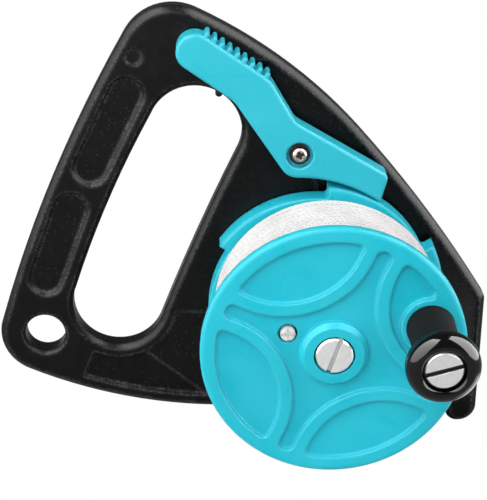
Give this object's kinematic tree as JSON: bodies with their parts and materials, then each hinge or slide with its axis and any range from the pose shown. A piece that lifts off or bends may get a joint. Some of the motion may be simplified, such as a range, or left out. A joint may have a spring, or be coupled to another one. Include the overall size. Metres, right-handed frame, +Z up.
{
  "type": "dive reel",
  "caption": "Hand-held dive reel: flat frame with a finger grip and clip hole, spool of white line with a winding knob, ratchet ring and sprung thumb lever.",
  "frame": {"origin": "on the spool's axis, in the plane of the frame's back face", "axes": "+Z up in the pictured pose, +X to the right seen from the front, -Y forward along the spool's axis, out of the winding knob's side"},
  "size_m": [0.1661, 0.0866, 0.1497],
  "materials": {
    "frame_black": "black moulded plastic, satin",
    "knob_black": "black moulded plastic, glossy",
    "spool_blue": "turquoise moulded plastic, satin",
    "lever_blue": "turquoise moulded plastic, satin",
    "line_white": "white braided line",
    "washer_white": "natural plastic washer",
    "screw_steel": "stainless steel, turned",
    "bush_steel": "stainless steel, smooth",
    "spring_steel": "spring wire",
    "insert_brass": "knurled brass insert"
  },
  "bodies": {
    "frame": {"frame": "frame_black", "axle_screw": "screw_steel", "axle_bush": "bush_steel", "thrust_washer": "washer_white", "front_washer": "washer_white", "axle_nut": "screw_steel", "lever_sleeve": "bush_steel", "lever_washer": "screw_steel", "lever_screw": "screw_steel", "lever_spring": "spring_steel"},
    "spool": {"spool_front": "spool_blue", "spool_rear": "spool_blue", "line_core": "line_white", "line_turns": "line_white", "line_knot": "line_white", "knob_screw": "screw_steel", "knob_sleeve": "bush_steel", "knob_insert": "insert_brass"},
    "lever": {"thumb_lever": "lever_blue"},
    "knob": {"knob": "knob_black"}
  },
  "joints": [
    {"name": "spool_spin", "type": "hinge", "parent": "frame", "child": "spool", "pos_m": [0, -0.035, 0], "axis": [0, 1, 0], "continuous": true},
    {"name": "knob_spin", "type": "hinge", "parent": "spool", "child": "knob", "pos_m": [0.0299, -0.07, 0.0087], "axis": [0, 1, 0], "continuous": true},
    {"name": "lever_press", "type": "hinge", "parent": "frame", "child": "lever", "pos_m": [-0.0093, -0.0132, 0.0522], "axis": [0, -1, 0], "range_deg": [0, 12], "stiffness_Nm_per_rad": 0.3, "springref_deg": -8.59}
  ]
}
